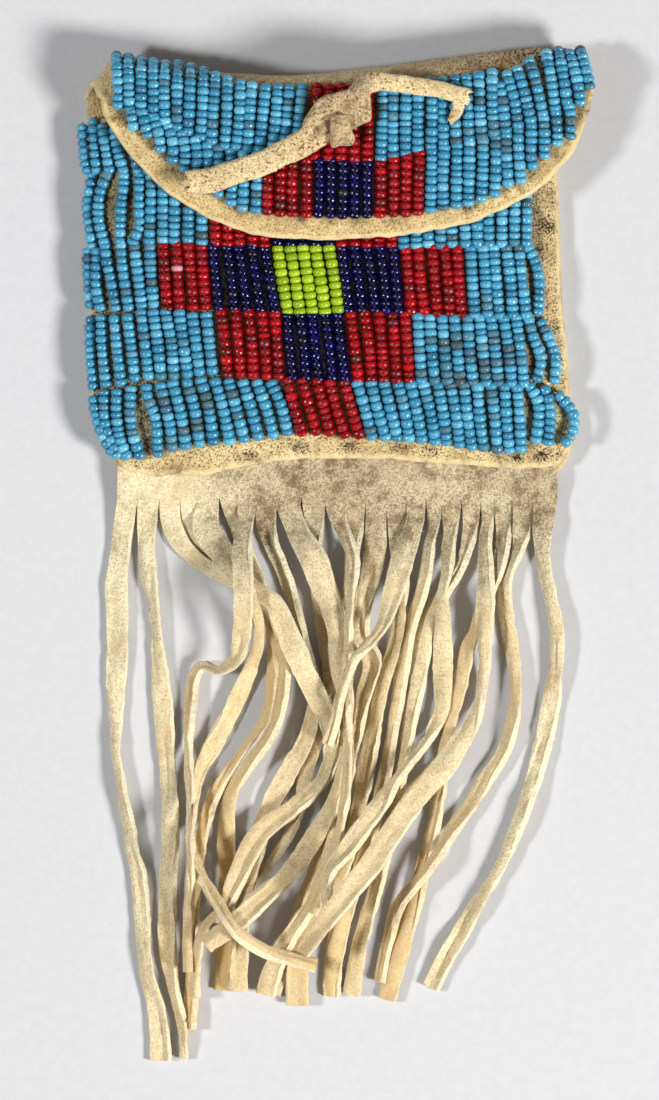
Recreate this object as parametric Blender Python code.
"""Beaded hide belt pouch, lying on its back with its flap closed.

A back panel of hide carries on round a fold and comes down over the front
as the flap. The front panel is sewn to the back along its sides and hem.
Both the front and the flap are covered with lanes of glass beads, strung
side by side, and a hide fringe hangs from the hem. A hide thong is knotted
through the flap.

Across the pouch is X, from the hem up to the fold is Y, and Z is up from the
floor. The origin is the middle of the back panel's underside. Outlines and
lanes are laid out in the coordinates of a picture taken from straight above,
and every such place is scaled to the real sizes that stand first.
"""

from bisect import bisect_right
from math import cos, hypot, pi, sin, sqrt

import bmesh
import bpy
import numpy as np

# Hide, the gap left between pieces that touch, and the pouch
HIDE_THICKNESS = 0.0013
CLEARANCE = 0.0003
POUCH_WIDTH = 0.0918
POUCH_HEIGHT = 0.0688
POCKET_DEPTH = 0.0052
HEM_RISE = 0.0240
PANEL_CROWN_POWER = 6

# Fold and flap
FLAP_LENGTH = 0.0263
FLAP_DROOP = 0.0020
HINGE_HEIGHT = 0.0074
FOLD_COVER_SHARE = 0.45

# Beads: a string is a ridge, and its ends sit a little lower than its middle
STRING_HEIGHT = 0.0019
STRING_VALLEY_SHARE = 0.50
STRING_CREST_SHARES = (0.28, 0.72)
STRING_END_SHARE = 0.80
BLOCK_GAP = 0.0003
LANE_GAP = 0.0005
BOW_DIAMETER = 0.0020

# Fringe
FRINGE_LENGTH = 0.1100
FRINGE_ROOT_DEPTH = 0.0080
FRINGE_BAND_LENGTH = 0.0038
SLIT_WIDTH = 0.0004
STRIP_WIDTH = 0.0037
STRIP_THICKNESS = 0.0010
STRIP_GAP = 0.0001
STRIP_ROLL_SHARE = 0.20
STRIP_STEP = 0.0050
STRIP_SLOPE_SHARE = 0.60
DRAPE_CELL = 0.00025
FLOOR_GAP = 0.0001

# Thong
LACE_WIDTH = 0.0043
LACE_THICKNESS = 0.0020
TAIL_WIDTH = 0.0032
KNOT_HEIGHT = 0.0034
KNOT_BEVEL = 0.0007

# The picture's own coordinates: x runs right and y runs down
LEFT_PX = 82
RIGHT_PX = 578
FOLD_PX = 98
HEM_PX = 470
FLAP_TIP_PX = 240
FRINGE_END_PX = 1066
MIDDLE_PX = (LEFT_PX + RIGHT_PX) / 2

# Side edges of the sewn panels, as (y, x), and the front panel's hem, as (x, y)
PANEL_LEFT_PX = ((98, 86), (165, 86), (210, 88), (280, 90), (350, 91), (400, 93), (440, 104), (470, 118))
PANEL_RIGHT_PX = (
    (98, 556), (165, 558), (240, 561), (300, 563), (350, 568),
    (407, 571), (448, 573), (470, 560),
)
MOUTH_PX = 120
HEM_LINE_PX = (
    (118, 463), (136, 469), (154, 470), (200, 470), (225, 467), (243, 463), (261, 460), (314, 456),
    (380, 456), (400, 457), (470, 463), (520, 466), (558, 464),
)

# Side edges of the flap, as (y, x), and the far edge of the fold, as (x, y)
FLAP_LEFT_PX = (
    (98, 101), (113, 103), (126, 110), (137, 117), (154, 129), (169, 143), (183, 156), (194, 167),
    (202, 181), (212, 198), (221, 215), (228, 232), (233, 249), (237, 275), (240, 305),
)
FLAP_RIGHT_PX = (
    (98, 592), (125, 584), (145, 577), (157, 570), (169, 558), (180, 549), (189, 538), (199, 522),
    (210, 503), (219, 480), (226, 457), (231, 430), (236, 400), (240, 345),
)
FOLD_EDGE_PX = ((105, 60), (210, 71), (300, 74), (420, 61), (500, 50), (550, 46), (592, 52))

# Edges between the lanes of the front, from the mouth to the hem, as (x, y)
FRONT_LANE_EDGES_PX = (
    ((84, 124), (330, 124), (560, 124)),
    ((84, 172), (122, 171), (330, 176), (560, 176)),
    ((84, 246), (121, 241), (163, 242), (215, 245), (330, 246), (400, 247), (470, 246), (560, 244)),
    ((84, 311), (100, 313), (160, 309), (241, 310), (291, 313), (374, 312), (436, 315), (560, 317)),
    ((84, 394), (105, 388), (133, 383), (210, 377), (307, 379), (360, 381), (481, 384), (570, 386)),
    ((90, 457), (141, 459), (175, 452), (304, 434), (361, 437), (440, 443), (499, 451), (570, 447)),
)

# Edges of the two lanes of the flap, as (x, y)
FLAP_LANE_EDGES_PX = (
    (
        (111, 54), (140, 61), (189, 70), (237, 81), (265, 86), (330, 86), (380, 84), (478, 76), (530, 58),
        (592, 50),
    ),
    (
        (111, 105), (150, 118), (197, 138), (230, 149), (320, 159), (375, 161), (430, 149), (505, 133),
        (545, 116), (592, 92),
    ),
    (
        (111, 112), (145, 142), (181, 174), (218, 196), (243, 210), (320, 217), (375, 217), (430, 212),
        (510, 189), (556, 146), (592, 104),
    ),
)

BLUE = "blue"
RED = "red"
NAVY = "navy"
LIME = "lime"

# Lanes of the front: blocks as (name, colour, strings), and where they part along both edges
FRONT_LANES = (
    {
        "blocks": (("blue_left", BLUE, 15), ("red", RED, 5), ("blue_right", BLUE, 14)),
        "upper_px": (87, 281, 350, 531),
        "lower_px": (87, 281, 350, 531),
    },
    {
        "blocks": (
            ("blue_left", BLUE, 9), ("red_left", RED, 5), ("navy", NAVY, 5), ("red_right", RED, 5),
            ("blue_right", BLUE, 11),
        ),
        "upper_px": (88, 208, 270, 336, 398, 531),
        "lower_px": (89, 209, 271, 336, 398, 532),
    },
    {
        "blocks": (
            ("blue_left", BLUE, 6), ("red_left", RED, 4), ("navy_left", NAVY, 5), ("lime", LIME, 5),
            ("navy_right", NAVY, 5), ("red_right", RED, 5), ("blue_right", BLUE, 6),
        ),
        "upper_px": (88, 157, 207, 270, 335, 399, 464, 536),
        "lower_px": (90, 161, 213, 282, 344, 406, 468, 545),
    },
    {
        "blocks": (
            ("blue_left", BLUE, 10), ("red_left", RED, 5), ("navy", NAVY, 5), ("red_right", RED, 5),
            ("blue_right", BLUE, 11),
        ),
        "upper_px": (91, 214, 281, 344, 412, 546),
        "lower_px": (93, 221, 286, 352, 416, 557),
    },
    {
        "blocks": (("blue_left", BLUE, 15), ("red", RED, 5), ("blue_right", BLUE, 15)),
        "upper_px": (95, 281, 350, 551),
        "lower_px": (112, 296, 367, 553),
    },
)
FLAP_LANES = (
    {
        "blocks": (("blue_left", BLUE, 16), ("red", RED, 5), ("blue_right", BLUE, 17)),
        "upper_px": (112, 313, 376, 580),
        "lower_px": (114, 308, 374, 588),
    },
    {
        "blocks": (
            ("blue_left", BLUE, 11), ("red_left", RED, 4), ("navy", NAVY, 5), ("red_right", RED, 4),
            ("blue_right", BLUE, 12),
        ),
        "upper_px": (122, 263, 312, 374, 426, 576),
        "lower_px": (124, 262, 312, 374, 424, 574),
    },
)
# How far along its strings a block has its rows of points
LANE_ROW_SHARES = (0.0, 0.5, 1.0)
FOLD_LANE_ROW_SHARES = (0.0, 0.2, 0.5, 1.0)

# The string that has come loose and bows out beside the last lane, as (x, y)
BOW_ROUTE_PX = ((559, 397), (565, 403), (573, 412), (577, 421), (576, 430), (571, 438), (565, 445))

# Fringe strips from the bottom of the pile to the top: root x, then (x, y, width) along each
FRINGE_SIDES_PX = (117, 558)
FRINGE_STRIPS_PX = (
    (229, ((232, 512, 12), (243, 545, 15), (262, 590, 15), (274, 650, 13), (268, 712, 12),
           (243, 752, 12), (217, 790, 12), (204, 830, 13), (197, 880, 13), (193, 930, 14),
           (191, 985, 14), (191, 1032, 12))),
    (190, ((192, 530, 16), (205, 549, 15), (228, 566, 14), (258, 596, 14), (277, 640, 15),
           (282, 690, 15), (270, 733, 14), (247, 766, 14), (232, 795, 15), (227, 830, 17),
           (228, 880, 18), (226, 940, 18), (223, 993, 17))),
    (356, ((354, 530, 16), (350, 580, 13), (345, 640, 12), (347, 700, 12), (343, 750, 12),
           (338, 795, 12), (328, 840, 12), (308, 890, 12), (290, 940, 14), (270, 996, 18))),
    (315, ((315, 522, 14), (318, 580, 15), (327, 640, 18), (328, 690, 16), (316, 735, 16),
           (306, 770, 16), (298, 815, 13), (272, 860, 12), (240, 898, 12), (205, 930, 11),
           (196, 975, 11), (194, 1000, 11))),
    (266, ((267, 530, 18), (278, 562, 16), (292, 600, 14), (306, 650, 13), (316, 690, 14),
           (308, 735, 18), (290, 770, 20), (272, 805, 21), (256, 845, 19), (244, 900, 18),
           (240, 950, 18), (238, 994, 19))),
    (396, ((398, 530, 16), (402, 590, 13), (398, 640, 13), (388, 672, 14), (378, 712, 15),
           (369, 755, 16), (361, 800, 16), (352, 845, 16), (332, 890, 18), (308, 930, 19),
           (298, 965, 21), (297, 1008, 23))),
    (434, ((434, 526, 11), (424, 580, 14), (412, 625, 12), (402, 675, 12), (394, 725, 12),
           (386, 770, 12), (374, 825, 14), (356, 880, 16), (341, 930, 18), (334, 965, 18),
           (331, 999, 18))),
    (475, ((471, 525, 14), (462, 562, 13), (446, 590, 13), (430, 620, 16), (420, 665, 18),
           (412, 715, 15), (404, 765, 13), (392, 830, 14), (374, 895, 15), (360, 950, 16),
           (352, 998, 17))),
    (376, ((376, 540, 21), (371, 575, 20), (363, 605, 17), (360, 635, 18), (372, 665, 19),
           (363, 700, 16), (357, 735, 12), (350, 770, 11), (341, 805, 11), (331, 850, 12),
           (318, 888, 14), (300, 920, 16), (284, 945, 18), (272, 975, 19), (266, 998, 19))),
    (502, ((503, 540, 16), (499, 566, 13), (490, 594, 12), (479, 618, 13), (467, 655, 15),
           (460, 690, 15), (452, 722, 15), (443, 760, 14), (439, 800, 14), (431, 836, 15),
           (423, 866, 16), (413, 908, 17), (403, 948, 18), (394, 980, 18), (388, 1003, 16))),
    (524, ((522, 534, 16), (513, 560, 14), (506, 582, 13), (506, 603, 13), (510, 632, 14),
           (515, 665, 14), (516, 700, 14), (512, 728, 14), (502, 754, 15), (486, 781, 15),
           (471, 808, 14), (454, 831, 14), (438, 856, 13), (420, 879, 12), (400, 905, 13),
           (389, 940, 13), (380, 985, 12))),
    (170, ((171, 522, 18), (184, 548, 17), (208, 568, 16), (234, 583, 15), (258, 594, 18),
           (275, 608, 21), (285, 630, 22), (298, 658, 22), (313, 690, 21), (328, 722, 19),
           (331, 750, 16), (326, 776, 15), (309, 797, 16), (288, 813, 18), (263, 832, 21),
           (247, 856, 21), (233, 888, 16), (227, 906, 11), (218, 925, 10))),
    (209, ((211, 530, 18), (228, 556, 17), (246, 585, 16), (257, 615, 13), (259, 640, 13),
           (252, 664, 15), (240, 692, 16), (226, 723, 18), (211, 751, 18), (198, 775, 15),
           (192, 808, 14), (191, 850, 12), (200, 876, 12), (217, 905, 13), (238, 933, 13),
           (262, 950, 13), (290, 961, 14), (316, 969, 15))),
    (288, ((289, 508, 19), (299, 534, 20), (314, 560, 25), (323, 586, 24), (331, 604, 21),
           (338, 636, 19), (339, 664, 18), (343, 695, 15), (345, 735, 14), (342, 775, 14),
           (332, 810, 16), (316, 838, 18), (300, 862, 18), (284, 880, 19), (262, 899, 20),
           (244, 916, 20), (222, 934, 19), (206, 946, 18))),
    (334, ((338, 518, 12), (347, 538, 13), (353, 560, 13), (352, 590, 11), (349, 625, 11),
           (348, 660, 11), (346, 700, 11), (349, 745, 11), (347, 790, 11), (338, 840, 11),
           (326, 880, 12), (312, 915, 13))),
    (244, ((246, 516, 13), (242, 552, 18), (243, 586, 19), (243, 620, 19), (241, 644, 18),
           (236, 661, 15), (219, 672, 11), (203, 667, 11), (194, 677, 11), (191, 700, 12),
           (189, 728, 11), (189, 750, 10), (190, 775, 10), (191, 815, 10), (191, 870, 11),
           (189, 910, 11), (188, 945, 11), (188, 974, 11))),
    (418, ((415, 525, 16), (404, 556, 23), (397, 582, 22), (391, 602, 19), (385, 624, 13),
           (371, 643, 11), (355, 657, 11), (345, 676, 11), (339, 697, 11), (334, 722, 11),
           (326, 745, 11))),
    (449, ((451, 520, 13), (448, 548, 15), (447, 574, 12), (443, 592, 9), (444, 614, 13),
           (444, 640, 17), (443, 672, 18), (443, 700, 17), (439, 719, 16), (426, 742, 11),
           (409, 764, 11), (396, 782, 12), (381, 805, 17), (364, 826, 18), (347, 849, 18),
           (331, 870, 16), (322, 892, 14), (306, 922, 13))),
    (487, ((488, 520, 11), (485, 548, 14), (486, 574, 16), (485, 608, 18), (484, 640, 15),
           (484, 668, 12), (480, 700, 12), (471, 727, 16), (456, 750, 21), (441, 772, 23),
           (423, 791, 23), (405, 814, 22), (388, 839, 22), (370, 866, 22), (351, 889, 21),
           (331, 915, 19), (316, 936, 18), (304, 955, 16))),
    (546, ((543, 542, 17), (547, 574, 15), (553, 604, 15), (558, 635, 15), (557, 668, 16),
           (552, 702, 18), (545, 737, 18), (536, 772, 17), (525, 808, 15), (514, 836, 14),
           (504, 862, 13), (495, 880, 13), (477, 910, 15), (458, 940, 18), (443, 966, 18),
           (431, 991, 18))),
    (148, ((146, 532, 18), (148, 568, 17), (152, 594, 14), (155, 620, 13), (159, 660, 15),
           (162, 700, 18), (165, 745, 18), (169, 790, 16), (169, 840, 17), (167, 880, 18),
           (167, 920, 18), (168, 960, 17), (174, 996, 14), (183, 1030, 11), (184, 1062, 9))),
    (127, ((121, 542, 19), (116, 586, 21), (117, 620, 21), (116, 660, 22), (115, 695, 18),
           (115, 730, 13), (117, 755, 11), (121, 782, 12), (125, 812, 13), (131, 848, 14),
           (138, 878, 15), (142, 910, 15), (144, 943, 15), (149, 978, 17), (156, 1006, 19),
           (159, 1036, 21), (160, 1064, 21))),
)

# Thong: the knot's outline, and the routes of its tails as (x, y, width)
KNOT_OUTLINE_PX = (
    (303, 120), (316, 104), (333, 95), (350, 91), (362, 84), (369, 88), (371, 122),
    (354, 129), (353, 144), (333, 147), (328, 128), (314, 131),
)
LEFT_TAIL_PX = ((298, 148), (280, 156), (263, 164), (235, 172), (211, 178), (188, 181))
RIGHT_TAIL_PX = ((379, 84), (406, 86), (432, 89), (455, 94), (469, 98))

# Derived levels
BACK_TOP = HIDE_THICKNESS
FRONT_REST = BACK_TOP + CLEARANCE
FLAP_TOP = (
    FRONT_REST + POCKET_DEPTH + HIDE_THICKNESS + CLEARANCE + STRING_HEIGHT + CLEARANCE + HIDE_THICKNESS
)
FOLD_Y = POUCH_HEIGHT / 2
HEM_Y = -POUCH_HEIGHT / 2
KNUCKLE_RADIUS = HIDE_THICKNESS / 2
FRINGE_AXIS_Y = HEM_Y - KNUCKLE_RADIUS - CLEARANCE
FRINGE_AXIS_Z = BACK_TOP + CLEARANCE + KNUCKLE_RADIUS


def clear_scene():
    for item in list(bpy.data.objects):
        bpy.data.objects.remove(item, do_unlink=True)


def make_material(name, colour, roughness):
    material = bpy.data.materials.new(name)
    material.use_nodes = True
    shader = material.node_tree.nodes["Principled BSDF"]
    shader.inputs["Base Color"].default_value = (*colour, 1.0)
    shader.inputs["Roughness"].default_value = roughness
    shader.inputs["Metallic"].default_value = 0.0
    return material


def add_object(name, points, faces, material, parent=None):
    """One closed body from points in world space, with its faces turned outwards."""
    offset = parent.location if parent else (0.0, 0.0, 0.0)
    mesh = bpy.data.meshes.new(name)
    mesh.from_pydata([tuple(p[i] - offset[i] for i in range(3)) for p in points], [], faces)
    body = bmesh.new()
    body.from_mesh(mesh)
    bmesh.ops.recalc_face_normals(body, faces=body.faces)
    body.to_mesh(mesh)
    body.free()
    mesh.materials.append(material)
    item = bpy.data.objects.new(name, mesh)
    bpy.context.collection.objects.link(item)
    item.parent = parent
    return item


def add_axis(name, location):
    axis = bpy.data.objects.new(name, None)
    axis.location = location
    axis.empty_display_size = HIDE_THICKNESS
    bpy.context.collection.objects.link(axis)
    return axis


def read_table(table, place):
    """A smooth curve through (place, value) pairs, flat beyond both ends."""
    places = [pair[0] for pair in table]
    if place <= places[0]:
        return table[0][1]
    if place >= places[-1]:
        return table[-1][1]
    i = bisect_right(places, place) - 1
    (x0, v0), (x1, v1) = table[i], table[i + 1]
    before = table[max(i - 1, 0)]
    after = table[min(i + 2, len(table) - 1)]
    span = x1 - x0
    slope0 = (v1 - before[1]) / (x1 - before[0]) * span
    slope1 = (after[1] - v0) / (after[0] - x0) * span
    t = (place - x0) / span
    return (
        (2 * t**3 - 3 * t**2 + 1) * v0 + (t**3 - 2 * t**2 + t) * slope0
        + (3 * t**2 - 2 * t**3) * v1 + (t**3 - t**2) * slope1
    )


def across(px):
    return (px - MIDDLE_PX) / (RIGHT_PX - LEFT_PX) * POUCH_WIDTH


def across_px(x):
    return x / POUCH_WIDTH * (RIGHT_PX - LEFT_PX) + MIDDLE_PX


def face_y(py):
    return FOLD_Y - (py - FOLD_PX) / (HEM_PX - FOLD_PX) * POUCH_HEIGHT


def face_py(y):
    return FOLD_PX + (FOLD_Y - y) / POUCH_HEIGHT * (HEM_PX - FOLD_PX)


def flap_y(py):
    return FOLD_Y - (py - FOLD_PX) / (FLAP_TIP_PX - FOLD_PX) * FLAP_LENGTH


def fringe_y(py):
    return HEM_Y - (py - HEM_PX) / (FRINGE_END_PX - HEM_PX) * FRINGE_LENGTH


def edge_share(x, y):
    """How far out a place is between the sewn sides: 0 in the middle and 1 at a side."""
    left = across(read_table(PANEL_LEFT_PX, face_py(y)))
    right = across(read_table(PANEL_RIGHT_PX, face_py(y)))
    return abs(2 * x - left - right) / (right - left)


def front_underside(x, y):
    """The crowned front: sewn down at its sides, and at the hem to the fringe's root."""
    side = 1 - min(edge_share(x, y), 1) ** PANEL_CROWN_POWER
    fall = 1 - min(max((y - HEM_Y) / HEM_RISE, 0), 1)
    crown = side * (1 - fall**2)
    return FRONT_REST + POCKET_DEPTH * crown + (HIDE_THICKNESS + CLEARANCE) * (1 - crown) * fall


def front_top(x, y):
    return front_underside(x, y) + HIDE_THICKNESS


def flap_level(x):
    """The top of the flap's hide along the fold, a little lower towards its sides."""
    return FLAP_TOP - FLAP_DROOP * min(edge_share(x, FOLD_Y), 1) ** PANEL_CROWN_POWER


def fold_reach(x):
    return flap_y(read_table(FOLD_EDGE_PX, across_px(x))) - FOLD_Y


def flap_top(x, y):
    """The top of the flap's hide, which bends down round the fold."""
    level = flap_level(x)
    if y <= FOLD_Y:
        return level
    part = min((y - FOLD_Y) / fold_reach(x), 1)
    return level / 2 * (1 + sqrt(1 - part * part))


def grid_shell(rows_of_points, thickness):
    """A closed sheet: the given points are its top, and its underside is one thickness lower."""
    rows = len(rows_of_points)
    columns = len(rows_of_points[0])
    top = [point for row in rows_of_points for point in row]
    points = top + [(x, y, z - thickness) for x, y, z in top]
    below = rows * columns
    faces = []
    for r in range(rows - 1):
        for c in range(columns - 1):
            a = r * columns + c
            quad = (a, a + 1, a + columns + 1, a + columns)
            faces.append(quad)
            faces.append(tuple(i + below for i in reversed(quad)))
    first = list(range(columns))
    last = list(range((rows - 1) * columns, rows * columns))
    left = list(range(0, rows * columns, columns))
    right = list(range(columns - 1, rows * columns, columns))
    for rim in (first, last, left, right):
        for a, b in zip(rim, rim[1:]):
            faces.append((a, b, b + below, a + below))
    return points, faces


def spread(count):
    """Shares from 0 to 1, closer together near both ends."""
    return [(1 - cos(pi * i / count)) / 2 for i in range(count + 1)]


def make_back_panel(hide):
    """A flat hide panel. Its top edge meets the fold."""
    ends_px = [face_py(FOLD_Y - CLEARANCE / 2)] + [py for py, _ in PANEL_LEFT_PX[1:]]
    left = [(across(read_table(PANEL_LEFT_PX, py)), face_y(py)) for py in ends_px]
    right = [(across(read_table(PANEL_RIGHT_PX, py)), face_y(py)) for py in ends_px]
    rows = [[(*a, BACK_TOP), (*b, BACK_TOP)] for a, b in zip(left, right)]
    return add_object("back_panel", *grid_shell(rows, HIDE_THICKNESS), hide)


def make_front_panel(hide):
    """The crowned front panel, from the pocket's mouth down to the hem."""
    row_count, column_count = 9, 20
    rows = []
    for share in spread(row_count):
        py = MOUTH_PX + (HEM_PX - MOUTH_PX) * share
        left = across(read_table(PANEL_LEFT_PX, py))
        right = across(read_table(PANEL_RIGHT_PX, py))
        row = []
        for part in spread(column_count):
            x = left + (right - left) * part
            hem_px = read_table(HEM_LINE_PX, across_px(x))
            y = face_y(MOUTH_PX + (hem_px - MOUTH_PX) * share)
            row.append((x, y, front_top(x, y)))
        rows.append(row)
    return add_object("front_panel", *grid_shell(rows, HIDE_THICKNESS), hide)


def make_flap(hide, parent):
    """The beaded flap's hide, from the fold down to its rounded tip."""
    row_count, column_count = 8, 16
    rows = []
    top_py = FOLD_PX + CLEARANCE / 2 / FLAP_LENGTH * (FLAP_TIP_PX - FOLD_PX)
    for i in range(row_count + 1):
        py = top_py + (FLAP_TIP_PX - top_py) * sin(pi / 2 * i / row_count)
        left = across(read_table(FLAP_LEFT_PX, py))
        right = across(read_table(FLAP_RIGHT_PX, py))
        y = flap_y(py)
        line = [left + (right - left) * c / column_count for c in range(column_count + 1)]
        rows.append([(x, y, flap_top(x, y)) for x in line])
    return add_object("flap_hide", *grid_shell(rows, HIDE_THICKNESS), hide, parent)


def make_fold(hide):
    """The hide between the back panel and the flap, bent round in a half turn."""
    columns, turns = 16, 10
    start = FOLD_Y + CLEARANCE / 2
    points = []
    for c in range(columns + 1):
        below = PANEL_LEFT_PX[0][1] + (PANEL_RIGHT_PX[0][1] - PANEL_LEFT_PX[0][1]) * c / columns
        above = FLAP_LEFT_PX[0][1] + (FLAP_RIGHT_PX[0][1] - FLAP_LEFT_PX[0][1]) * c / columns
        for inset in (0.0, HIDE_THICKNESS):
            for t in range(turns + 1):
                x = across(below + (above - below) * t / turns)
                half = flap_level(x) / 2
                angle = -pi / 2 + pi * t / turns
                y = start + (fold_reach(x) - CLEARANCE / 2 - inset) * cos(angle)
                points.append((x, y, half + (half - inset) * sin(angle)))
    ring = 2 * (turns + 1)
    loop = list(range(turns + 1)) + list(range(ring - 1, turns, -1))
    faces = []
    for c in range(columns):
        for a, b in zip(loop, loop[1:] + loop[:1]):
            low = c * ring
            faces.append((low + a, low + b, low + ring + b, low + ring + a))
    for end in (0, columns * ring):
        for t in range(turns):
            faces.append((end + t, end + t + 1, end + turns + t + 2, end + turns + t + 1))
    return add_object("flap_fold", points, faces, hide)


def block_points(lane, index, edges_px, surface, to_y, row_shares):
    """Points of one colour block: a corrugated slab with one ridge for each string."""
    strings = lane["blocks"][index][2]
    gap = BLOCK_GAP / 2
    ends = []
    for line in (lane["upper_px"], lane["lower_px"]):
        ends.append((across(line[index]) + gap, across(line[index + 1]) - gap))
    upper, lower = edges_px

    def place(share, t):
        xa = ends[0][0] + (ends[0][1] - ends[0][0]) * share
        xb = ends[1][0] + (ends[1][1] - ends[1][0]) * share
        ya = fold_limit(xa, to_y(read_table(upper, across_px(xa))) - LANE_GAP / 2)
        yb = to_y(read_table(lower, across_px(xb))) + LANE_GAP / 2
        return xa + (xb - xa) * t, ya + (yb - ya) * t

    crest_a, crest_b = STRING_CREST_SHARES
    top_line = []
    for s in range(strings):
        top_line += [(s, STRING_VALLEY_SHARE), (s + crest_a, 1.0), (s + crest_b, 1.0)]
    top_line.append((strings, STRING_VALLEY_SHARE))
    points = []
    for t in row_shares:
        hump = STRING_END_SHARE if t in (0.0, 1.0) else 1.0
        for s in range(strings + 1):
            x, y = place(s / strings, t)
            points.append((x, y, surface(x, y) + CLEARANCE))
        for s, height in top_line:
            x, y = place(s / strings, t)
            points.append((x, y, surface(x, y) + CLEARANCE + STRING_HEIGHT * height * hump))
    return points, strings


def fold_limit(x, y):
    """Strings that start on the fold reach only part of the way round it."""
    return min(y, FOLD_Y + fold_reach(x) * FOLD_COVER_SHARE)


def make_block(name, lane, index, edges_px, surface, to_y, row_shares, material, parent=None):
    points, strings = block_points(lane, index, edges_px, surface, to_y, row_shares)
    rows = len(row_shares) - 1
    bottom = strings + 1
    top = 3 * strings + 1
    ring = bottom + top
    faces = []
    for r in range(rows):
        low, high = r * ring, (r + 1) * ring
        for s in range(strings):
            faces.append((low + s, high + s, high + s + 1, low + s + 1))
        for s in range(top - 1):
            a, b = low + bottom + s, high + bottom + s
            faces.append((a, a + 1, b + 1, b))
        faces.append((low, low + bottom, high + bottom, high))
        faces.append((low + bottom - 1, high + bottom - 1, high + ring - 1, low + ring - 1))
    for end in (0, rows * ring):
        for s in range(strings):
            ridge = [end + bottom + 3 * s + k for k in (3, 2, 1, 0)]
            faces.append((end + s, end + s + 1, *ridge))
    return add_object(name, points, faces, material, parent)


def make_lanes(colours, flap_axis):
    for number, lane in enumerate(FRONT_LANES):
        edges = FRONT_LANE_EDGES_PX[number:number + 2]
        for index, (part, colour, _) in enumerate(lane["blocks"]):
            name = f"front_lane_{number + 1}_{part}"
            make_block(name, lane, index, edges, front_top, face_y, LANE_ROW_SHARES, colours[colour])
    for number, lane in enumerate(FLAP_LANES):
        edges = FLAP_LANE_EDGES_PX[number:number + 2]
        rows = LANE_ROW_SHARES if number else FOLD_LANE_ROW_SHARES
        for index, (part, colour, _) in enumerate(lane["blocks"]):
            name = f"flap_lane_{number + 1}_{part}"
            make_block(name, lane, index, edges, flap_top, flap_y, rows, colours[colour], flap_axis)


def smooth_route(points, step):
    """Evenly spaced places along a smooth curve through the points, each with its direction."""
    padded = [points[0]] + list(points) + [points[-1]]
    dense = []
    for i in range(1, len(padded) - 2):
        p0, p1, p2, p3 = (np.array(padded[k], float) for k in (i - 1, i, i + 1, i + 2))
        for t in np.linspace(0, 1, 12, endpoint=False):
            dense.append(
                p1 + (p2 - p0) / 2 * t + (p0 - 2.5 * p1 + 2 * p2 - p3 / 2) * t**2
                + (1.5 * p1 - p0 / 2 - 1.5 * p2 + p3 / 2) * t**3
            )
    dense.append(np.array(points[-1], float))
    dense = np.array(dense)
    runs = np.hypot(*np.diff(dense[:, :2], axis=0).T)
    travelled = np.concatenate(([0.0], np.cumsum(runs)))
    count = max(2, round(travelled[-1] / step))
    stops = np.linspace(0, travelled[-1], count + 1)
    places = np.array([np.interp(stops, travelled, dense[:, k]) for k in range(dense.shape[1])]).T
    return places, stops


def side_normals(places):
    directions = np.gradient(places[:, :2], axis=0)
    directions /= np.hypot(*directions.T)[:, None]
    return np.stack((-directions[:, 1], directions[:, 0]), axis=1)


def strip_thickness(width):
    """A strip that rolls onto its edge looks narrower and stands higher."""
    return STRIP_THICKNESS + max(0.0, STRIP_WIDTH - width) * STRIP_ROLL_SHARE


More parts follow.
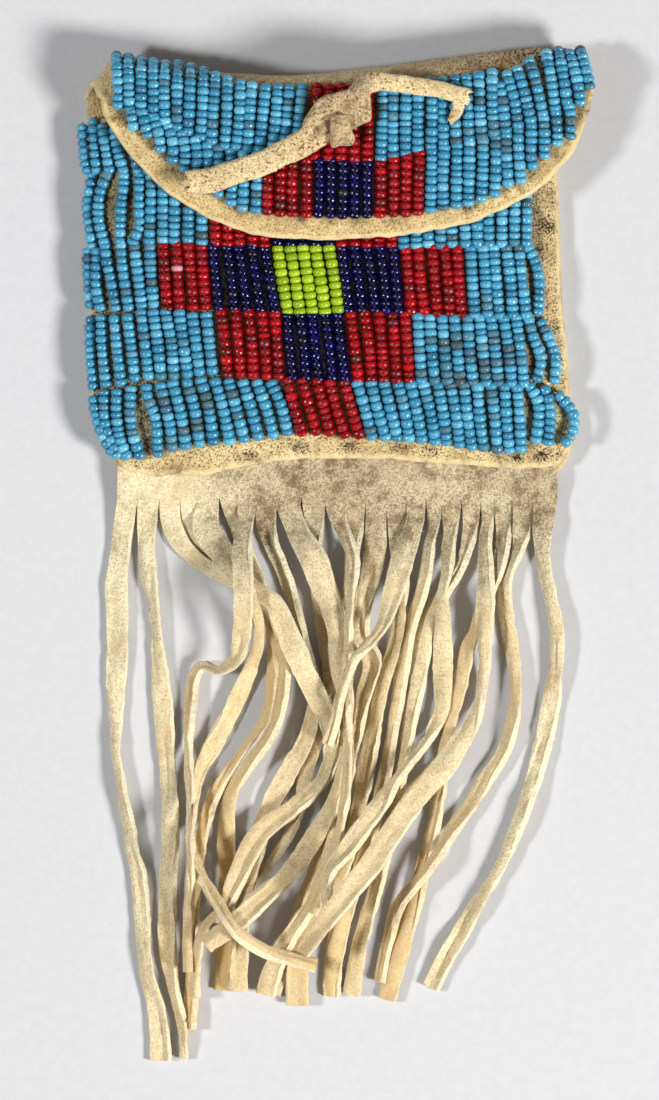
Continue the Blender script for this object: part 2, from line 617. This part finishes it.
class Drape:
    """Heights of what already lies under the fringe, on a fine grid."""

    def __init__(self):
        self.left = -POUCH_WIDTH
        self.low = HEM_Y - FRINGE_LENGTH - POUCH_WIDTH / 4
        across_cells = int(2 * POUCH_WIDTH / DRAPE_CELL)
        along_cells = int((HEM_Y - self.low) / DRAPE_CELL)
        self.height = np.full((along_cells, across_cells), FLOOR_GAP)

    def cells(self, a, b, normal_a, normal_b, half_a, half_b, margin):
        """The grid cells inside one stretch of a strip, and within the margin around it."""
        corners = np.array([
            a - normal_a * half_a, a + normal_a * half_a, b + normal_b * half_b, b - normal_b * half_b,
        ])
        x0, y0 = corners.min(axis=0) - margin
        x1, y1 = corners.max(axis=0) + margin
        columns = np.arange(int((x0 - self.left) / DRAPE_CELL), int((x1 - self.left) / DRAPE_CELL) + 1)
        rows = np.arange(int((y0 - self.low) / DRAPE_CELL), int((y1 - self.low) / DRAPE_CELL) + 1)
        xs, ys = np.meshgrid(self.left + columns * DRAPE_CELL, self.low + rows * DRAPE_CELL)
        run = b - a
        length = hypot(*run)
        t = ((xs - a[0]) * run[0] + (ys - a[1]) * run[1]) / length**2
        off = np.abs((xs - a[0]) * run[1] - (ys - a[1]) * run[0]) / length
        half = half_a + (half_b - half_a) * np.clip(t, 0, 1)
        end = margin / length
        inside = (t > -end) & (t < 1 + end) & (off < half + margin)
        grid_rows, grid_columns = np.meshgrid(rows, columns, indexing="ij")
        limits = (grid_rows < self.height.shape[0]) & (grid_rows >= 0)
        inside &= limits
        return grid_rows[inside], grid_columns[inside]

    def lay(self, places, normals, halves, thicknesses, start_z, stops):
        """The height of each place of a strip laid on the pile, and the pile with it added."""
        count = len(places)
        floor = np.full(count, FLOOR_GAP)
        stretches = [
            (places[i], places[i + 1], normals[i], normals[i + 1], halves[i], halves[i + 1])
            for i in range(count - 1)
        ]
        for i, stretch in enumerate(stretches):
            cells = self.cells(*stretch, margin=0.0)
            if len(cells[0]):
                need = self.height[cells].max()
                floor[i] = max(floor[i], need)
                floor[i + 1] = max(floor[i + 1], need)
        floor[0] = start_z
        slope = STRIP_SLOPE_SHARE
        reach = floor[None, 1:] - slope * np.abs(stops[:, None] - stops[None, 1:])
        z = np.maximum(reach.max(axis=1), FLOOR_GAP)
        z[0] = start_z
        for i, stretch in enumerate(stretches):
            cells = self.cells(*stretch, margin=DRAPE_CELL)
            top = max(z[i] + thicknesses[i], z[i + 1] + thicknesses[i + 1]) + STRIP_GAP
            self.height[cells] = np.maximum(self.height[cells], top)
        return z


def strip_roots():
    """The left and right corners of every strip at the end of the uncut band, by root x."""
    order = sorted(range(len(FRINGE_STRIPS_PX)), key=lambda i: FRINGE_STRIPS_PX[i][0])
    centres = [across(FRINGE_STRIPS_PX[i][0]) for i in order]
    cuts = [(a + b) / 2 for a, b in zip(centres, centres[1:])]
    lefts = [across(FRINGE_SIDES_PX[0])] + [cut + SLIT_WIDTH / 2 for cut in cuts]
    rights = [cut - SLIT_WIDTH / 2 for cut in cuts] + [across(FRINGE_SIDES_PX[1])]
    return {i: (a, b) for i, a, b in zip(order, lefts, rights)}


def make_fringe(hide, parent):
    """One piece of hide: an uncut band that hinges at the hem, cut into strips that pile up."""
    roots = strip_roots()
    band_end = FRINGE_AXIS_Y - FRINGE_BAND_LENGTH
    base = FLOOR_GAP
    knuckle = [(FRINGE_AXIS_Y + KNUCKLE_RADIUS * cos(a), FRINGE_AXIS_Z + KNUCKLE_RADIUS * sin(a))
               for a in (-pi / 2, -pi / 6, pi / 6, pi / 2)]
    profile = [(band_end, base), *knuckle, (band_end, base + STRIP_THICKNESS)]
    columns = sorted(x for pair in roots.values() for x in pair)
    points = [(x, y, z) for x in columns for y, z in profile]
    size = len(profile)
    faces = []
    for c in range(len(columns) - 1):
        low = c * size
        for k in range(size - 1):
            faces.append((low + k, low + k + 1, low + size + k + 1, low + size + k))
        if c % 2:
            faces.append((low + size - 1, low, low + size, low + 2 * size - 1))
    faces.append(tuple(range(size)))
    faces.append(tuple(range((len(columns) - 1) * size, len(columns) * size)))
    pile = Drape()
    for i, (_, route_px) in enumerate(FRINGE_STRIPS_PX):
        left, right = roots[i]
        route = [((left + right) / 2, band_end, right - left)]
        route += [(across(px), fringe_y(py), across(px + width) - across(px)) for px, py, width in route_px]
        places, stops = smooth_route(route, STRIP_STEP)
        halves = places[:, 2] / 2
        centres = places[:, :2]
        normals = side_normals(places)
        normals[0] = (1.0, 0.0)
        thicknesses = np.array([strip_thickness(w) for w in places[:, 2]])
        thicknesses[0] = STRIP_THICKNESS
        heights = pile.lay(centres, normals, halves, thicknesses, base, stops)
        at_left = columns.index(left) * size
        at_right = columns.index(right) * size
        ring = [at_left, at_right, at_right + size - 1, at_left + size - 1]
        for centre, normal, half, thick, z in list(zip(centres, normals, halves, thicknesses, heights))[1:]:
            a = centre - normal * half
            b = centre + normal * half
            start = len(points)
            points += [(*a, z), (*b, z), (*b, z + thick), (*a, z + thick)]
            new_ring = [start, start + 1, start + 2, start + 3]
            for k in range(4):
                n = (k + 1) % 4
                faces.append((ring[k], ring[n], new_ring[n], new_ring[k]))
            ring = new_ring
        faces.append(tuple(ring))
    return add_object("fringe", points, faces, hide, parent)


def make_fringe_root(hide):
    """The edge of the fringe's hide that is sewn between the panels at the hem."""
    inset = SLIT_WIDTH
    end_y = HEM_Y + FRINGE_ROOT_DEPTH
    start_y = HEM_Y
    top = BACK_TOP + CLEARANCE + HIDE_THICKNESS - CLEARANCE / 2
    rows = []
    for y in (end_y, start_y):
        left = across(FRINGE_SIDES_PX[0]) + inset
        right = across(FRINGE_SIDES_PX[1]) - inset
        rows.append([(left, y, top), (right, y, top)])
    return add_object("fringe_root", *grid_shell(rows, HIDE_THICKNESS - CLEARANCE / 2), hide)


def make_ribbon(name, route, level, width, thickness, material, parent=None):
    """A lace or string with rounded sides, lying on what is under it."""
    places, _ = smooth_route(route, thickness)
    normals = side_normals(places)
    sides = 8
    points = []
    for (x, y), (nx, ny) in zip(places, normals):
        for k in range(sides):
            angle = 2 * pi * (k + 0.5) / sides
            side = (width - thickness) / 2 * (1 if cos(angle) > 0 else -1) + thickness / 2 * cos(angle)
            up = thickness / 2 + thickness / 2 * sin(angle)
            points.append((x + nx * side, y + ny * side, level(x, y) + up))
    faces = []
    for i in range(len(places) - 1):
        for k in range(sides):
            a, b = i * sides + k, i * sides + (k + 1) % sides
            faces.append((a, b, b + sides, a + sides))
    faces.append(tuple(range(sides)))
    faces.append(tuple(range((len(places) - 1) * sides, len(places) * sides)))
    return add_object(name, points, faces, material, parent)


def make_bowed_string(material):
    """The loose string rests on the crowned front, so it clears the higher side of its own width."""
    route = [(across(px), face_y(py)) for px, py in BOW_ROUTE_PX]
    return make_ribbon(
        "bowed_string", route, lambda x, y: front_top(x - BOW_DIAMETER / 2, y) + CLEARANCE,
        BOW_DIAMETER, BOW_DIAMETER, material,
    )


def bead_level(x, y):
    """What lies on the flap's beads rests this high."""
    return flap_top(x, min(y, FOLD_Y)) + CLEARANCE + STRING_HEIGHT + CLEARANCE


def make_thong(hide, parent):
    """A hide thong knotted through the flap, with a rolled tail and a thin one."""
    outline = [(across(px), flap_y(py)) for px, py in KNOT_OUTLINE_PX]
    left = [(across(px), flap_y(py)) for px, py in LEFT_TAIL_PX]
    right = [(across(px), flap_y(py)) for px, py in RIGHT_TAIL_PX]
    level = max(bead_level(x, y) for x, y in outline + left + right)
    make_ribbon("thong_tail_left", left, lambda x, y: level, LACE_WIDTH, LACE_THICKNESS, hide, parent)
    make_ribbon("thong_tail_right", right, lambda x, y: level, TAIL_WIDTH, LACE_THICKNESS, hide, parent)
    body = bmesh.new()
    ring = [body.verts.new((x, y - parent.location.y, level - parent.location.z)) for x, y in outline]
    bottom = body.faces.new(ring)
    lifted = bmesh.ops.extrude_face_region(body, geom=[bottom])["geom"]
    verts = [v for v in lifted if isinstance(v, bmesh.types.BMVert)]
    bmesh.ops.translate(body, verts=verts, vec=(0, 0, KNOT_HEIGHT))
    rim = [e for e in body.edges if all(v in verts for v in e.verts)]
    bmesh.ops.bevel(body, geom=rim, offset=KNOT_BEVEL, segments=2, profile=0.5, affect="EDGES")
    bmesh.ops.recalc_face_normals(body, faces=body.faces)
    mesh = bpy.data.meshes.new("thong_knot")
    body.to_mesh(mesh)
    body.free()
    mesh.materials.append(hide)
    knot = bpy.data.objects.new("thong_knot", mesh)
    bpy.context.collection.objects.link(knot)
    knot.parent = parent
    return knot


def main():
    clear_scene()
    hide = make_material("cream_hide", (0.75, 0.60, 0.36), 0.9)
    fringe_hide = make_material("fringe_hide", (0.72, 0.62, 0.42), 0.95)
    thong_hide = make_material("thong_hide", (0.72, 0.58, 0.34), 0.95)
    colours = {
        BLUE: make_material("turquoise_glass", (0.08, 0.40, 0.67), 0.2),
        RED: make_material("red_glass", (0.50, 0.01, 0.02), 0.12),
        NAVY: make_material("navy_glass", (0.01, 0.01, 0.09), 0.1),
        LIME: make_material("lime_glass", (0.48, 0.68, 0.03), 0.25),
    }
    flap_axis = add_axis("flap_axis", (0.0, FOLD_Y, HINGE_HEIGHT))
    fringe_axis = add_axis("fringe_axis", (0.0, FRINGE_AXIS_Y, FRINGE_AXIS_Z))
    make_back_panel(hide)
    make_front_panel(hide)
    make_fold(hide)
    make_flap(hide, flap_axis)
    make_lanes(colours, flap_axis)
    make_bowed_string(colours[BLUE])
    make_fringe_root(fringe_hide)
    make_fringe(fringe_hide, fringe_axis)
    make_thong(thong_hide, flap_axis)


main()
